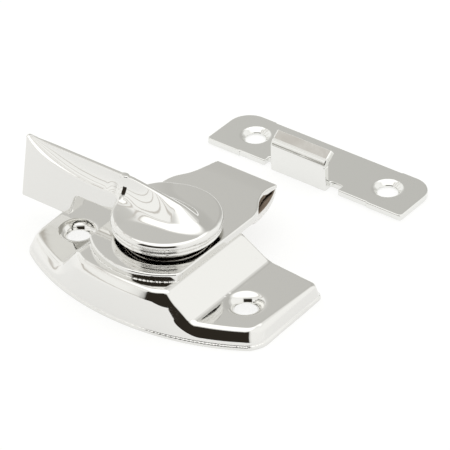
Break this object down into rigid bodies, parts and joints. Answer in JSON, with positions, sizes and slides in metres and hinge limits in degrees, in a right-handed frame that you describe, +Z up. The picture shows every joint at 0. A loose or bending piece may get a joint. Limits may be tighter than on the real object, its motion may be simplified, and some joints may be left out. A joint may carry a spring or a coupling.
{
  "type": "window sash lock",
  "caption": "Chrome cam-action window lock: bow-fronted body with a swivelling thumb lever and rear hood, and a separate hooked strike plate.",
  "frame": {"origin": "middle of the underside of the box round the lock body and its strike, at the height of the sash faces they screw to", "axes": "+X along the meeting rail, +Y from the lock body towards the strike, +Z up out of the sash; the lever turns about Z"},
  "size_m": [0.0688, 0.076, 0.021],
  "materials": {
    "chrome_casting": "polished chrome plate over die-cast zinc",
    "chrome_strip": "polished chrome plate over pressed steel strip",
    "plain_steel": "turned steel",
    "greased_steel": "dark greased steel with bright worn edges",
    "nylon": "moulded nylon"
  },
  "bodies": {
    "body": {"base_casting": "chrome_casting", "pivot_bush": "nylon"},
    "handle": {"lever": "chrome_casting", "spindle": "plain_steel", "friction_washer": "greased_steel", "spring_washer": "plain_steel", "retaining_washer": "plain_steel"},
    "latch": {"latch_plate": "greased_steel"},
    "strike": {"strike_plate": "chrome_strip"}
  },
  "joints": [
    {"name": "lever_turn", "type": "hinge", "parent": "body", "child": "handle", "pos_m": [0.0036, -0.0191, 0.012], "axis": [0, 0, 1], "range_deg": [0, 180]},
    {"name": "latch_slide", "type": "slide", "parent": "body", "child": "latch", "axis": [0, 1, 0], "range_m": [-0.0045, 0]},
    {"name": "strike_slide", "type": "slide", "parent": "body", "child": "strike", "axis": [0, 1, 0], "range_m": [-0.014, 0]}
  ],
  "couplings": [
    {"joint": "latch_slide", "follows": "lever_turn", "m_per_rad": -0.0014}
  ]
}
